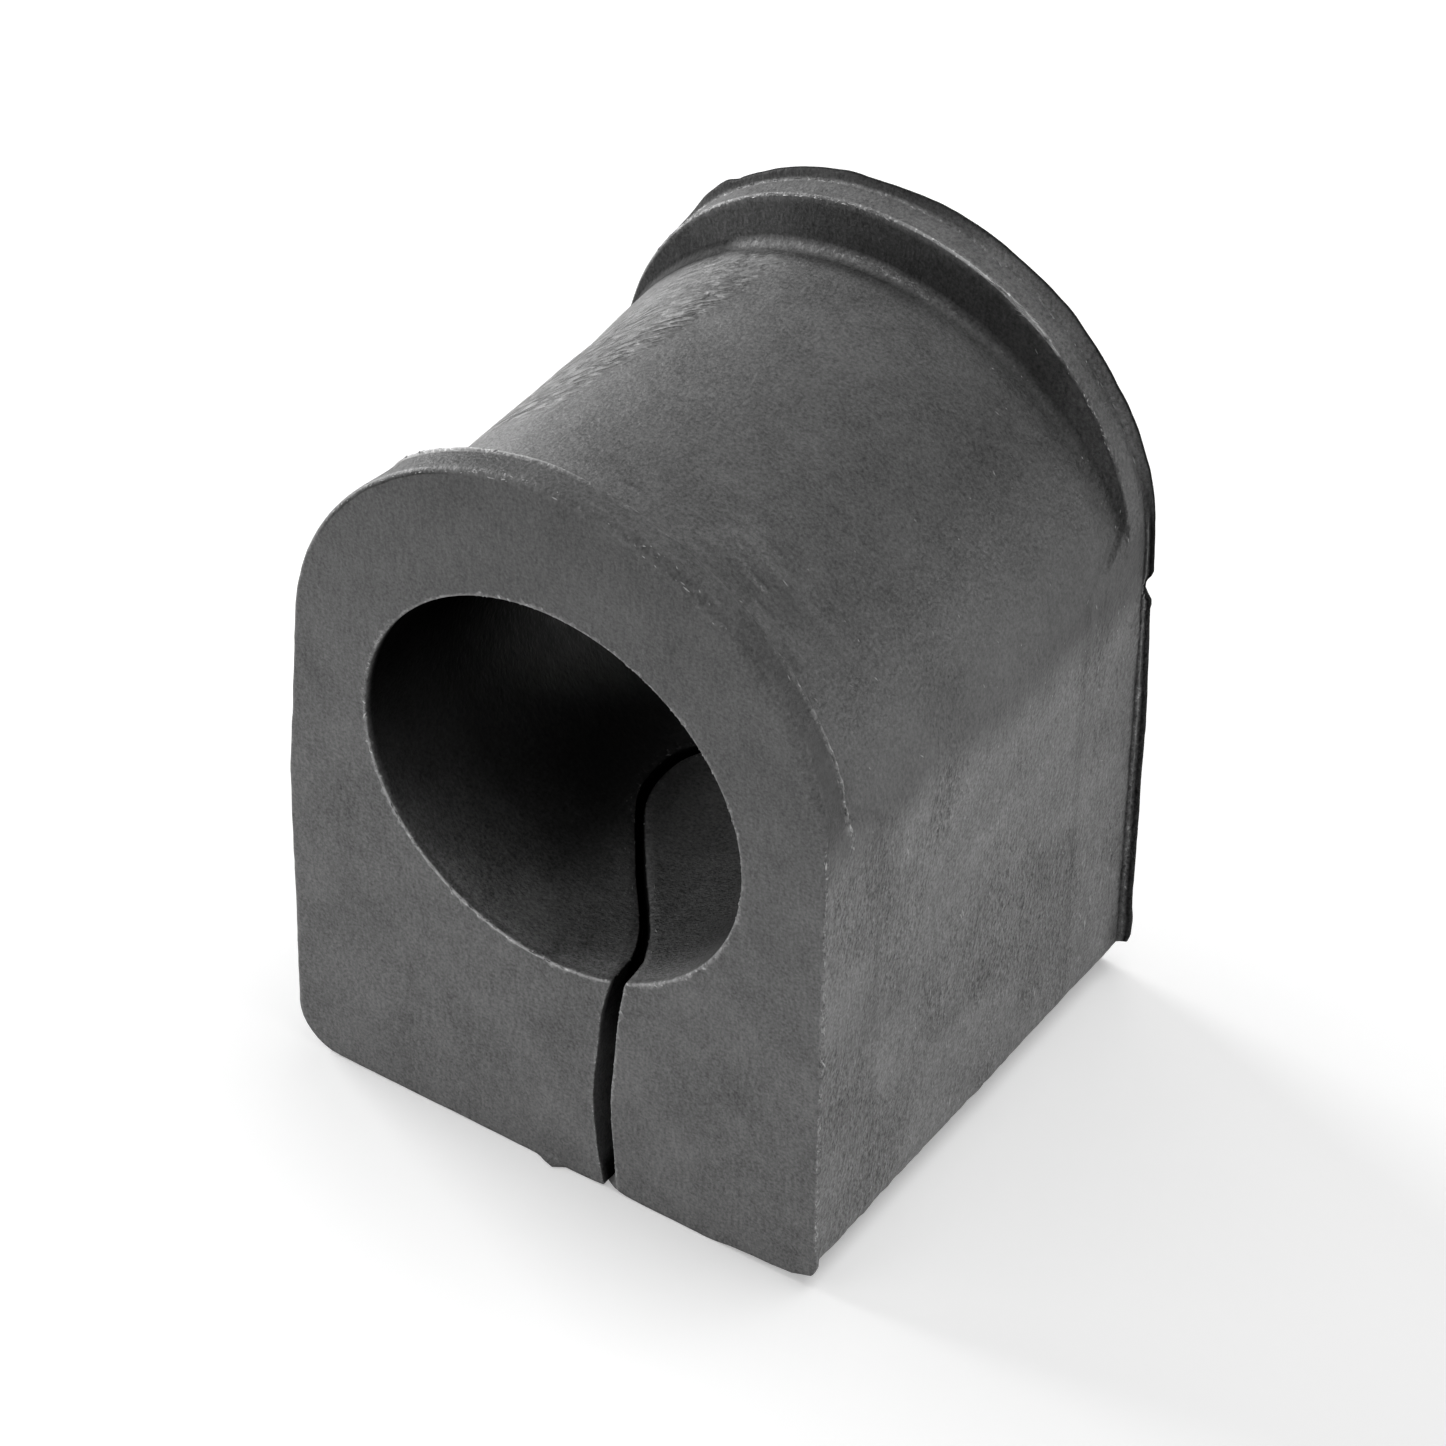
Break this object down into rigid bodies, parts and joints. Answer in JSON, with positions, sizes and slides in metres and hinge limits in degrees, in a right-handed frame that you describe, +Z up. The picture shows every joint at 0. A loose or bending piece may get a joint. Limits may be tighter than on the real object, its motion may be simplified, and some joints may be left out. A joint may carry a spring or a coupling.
{
  "type": "sway bar bushing",
  "caption": "Rubber block bushing with a through bore, an arched back between two collars and a stepped slit through its flat foot.",
  "frame": {"origin": "on the axis of the bore, halfway between the two end faces", "axes": "+Y along the bore, from the front end face to the rear one; +Z up, away from the flat foot; +X to the right seen from the front"},
  "size_m": [0.0352, 0.0316, 0.0475],
  "materials": {
    "rubber": "matt moulded black rubber, mottled grey-black, with thin ragged flash on the edges"
  },
  "bodies": {
    "root": {"rubber_bushing": "rubber"}
  },
  "joints": []
}
